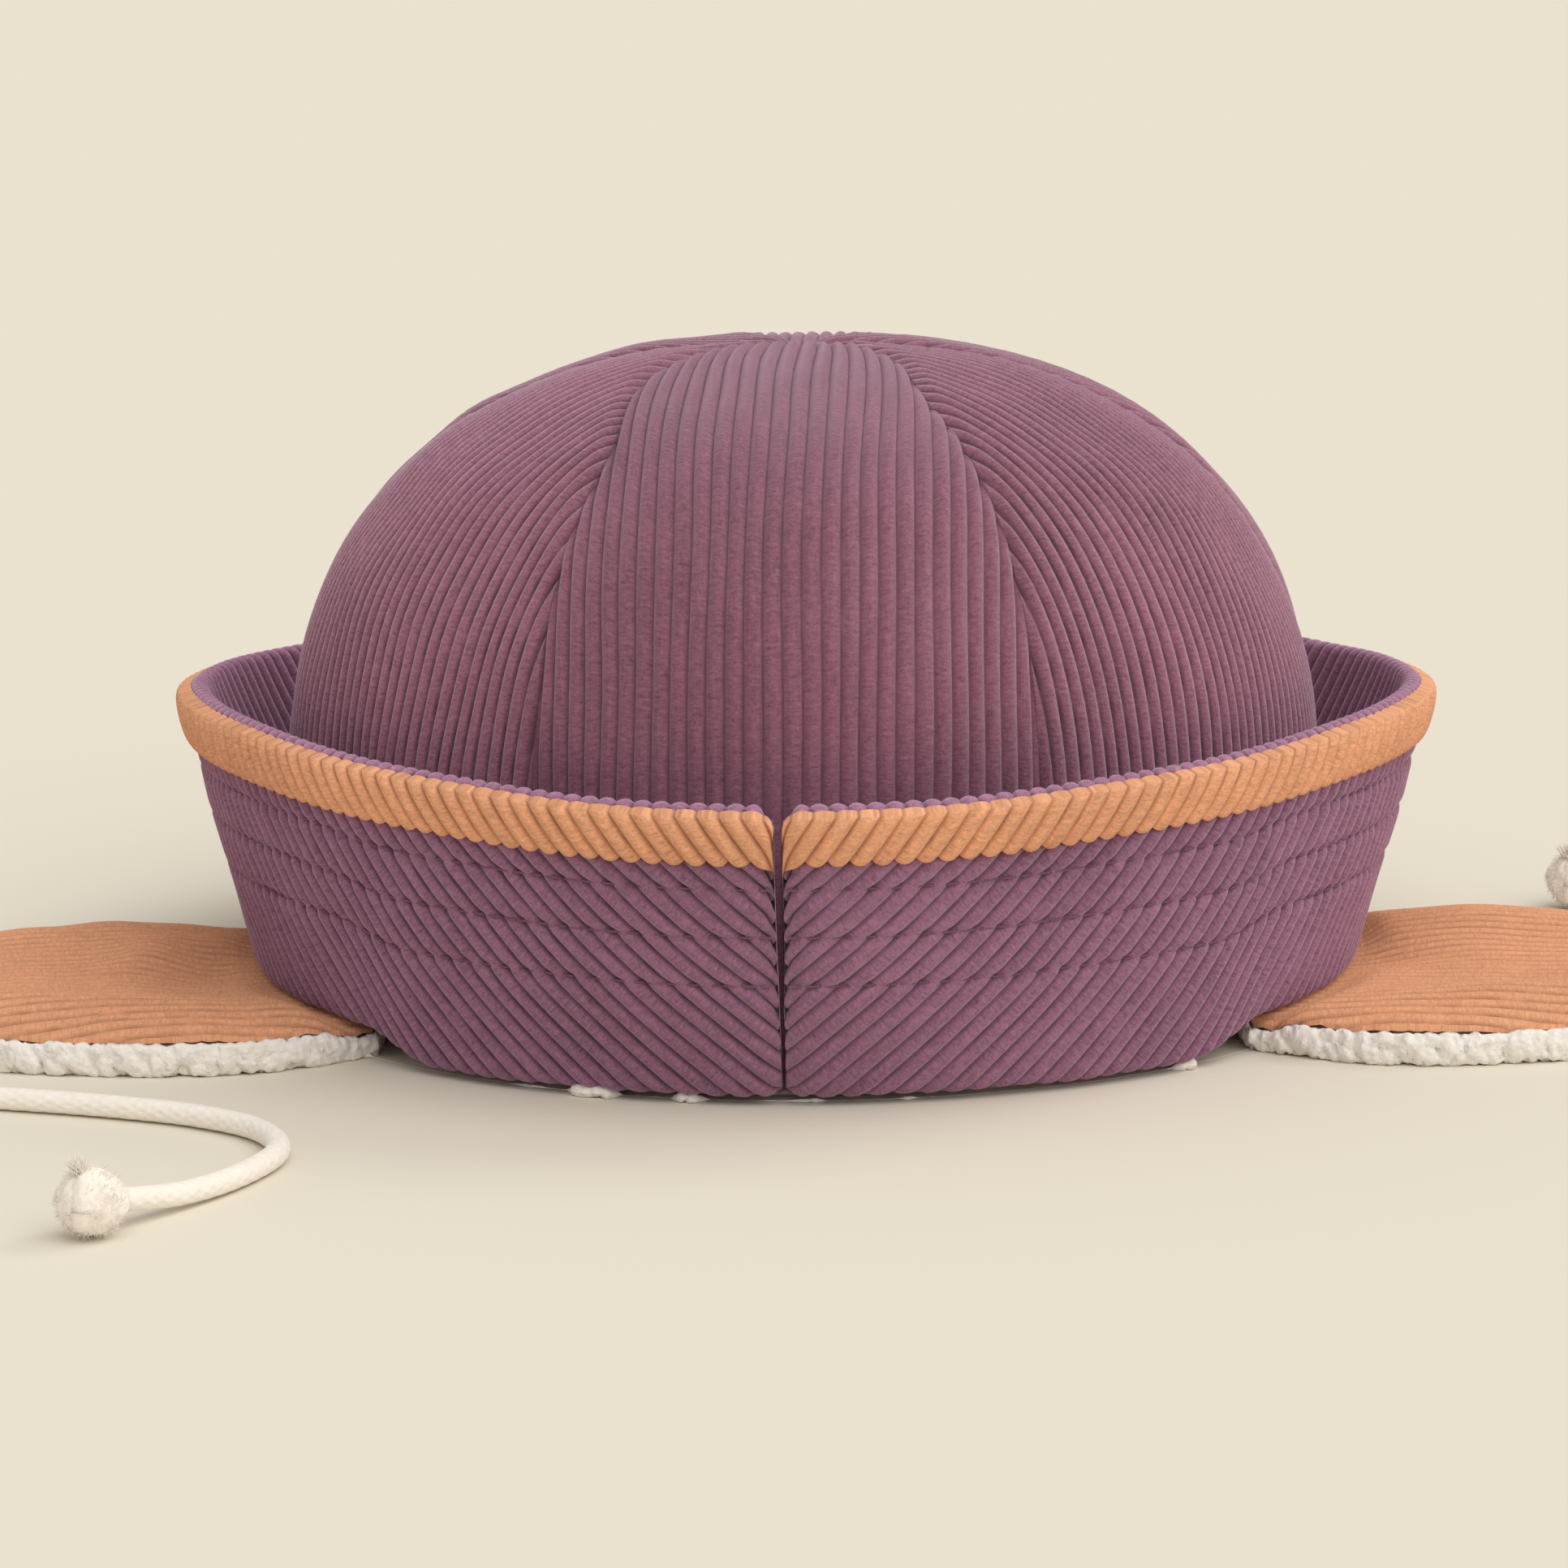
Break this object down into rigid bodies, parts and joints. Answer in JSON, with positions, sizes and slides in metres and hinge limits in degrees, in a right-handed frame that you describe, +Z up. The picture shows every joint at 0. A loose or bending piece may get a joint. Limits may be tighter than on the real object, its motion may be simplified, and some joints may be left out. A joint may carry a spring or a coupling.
{
  "type": "corduroy winter hat",
  "caption": "Round corduroy winter hat with a panelled crown, sherpa lining, wide turned-up brim with a contrast edge, and ear flaps laid out flat with knotted tie cords.",
  "frame": {"origin": "middle of the hat on the surface it rests on, straight below the top of the crown", "axes": "+Z up through the top of the crown, -Y towards the hat's front seam of the brim, +X towards the flap on the viewer's right"},
  "size_m": [0.4337, 0.3004, 0.117],
  "materials": {
    "purple_corduroy": "plum wide-wale cotton corduroy",
    "orange_corduroy": "apricot wide-wale cotton corduroy",
    "white_sherpa": "off-white curly sherpa pile",
    "cotton_cord": "cream braided cotton cord"
  },
  "bodies": {
    "root": {"crown_panel_front": "purple_corduroy", "crown_panel_front_right": "purple_corduroy", "crown_panel_back_right": "purple_corduroy", "crown_panel_back": "purple_corduroy", "crown_panel_back_left": "purple_corduroy", "crown_panel_front_left": "purple_corduroy", "brim_left": "purple_corduroy", "brim_right": "purple_corduroy", "brim_edge_left": "orange_corduroy", "brim_edge_right": "orange_corduroy", "ear_flap_left": "orange_corduroy", "ear_flap_right": "orange_corduroy", "crown_lining": "white_sherpa", "ear_flap_lining_left": "white_sherpa", "ear_flap_lining_right": "white_sherpa", "cord_left": "cotton_cord", "cord_right": "cotton_cord", "knot_left": "cotton_cord", "knot_right": "cotton_cord"}
  },
  "joints": []
}
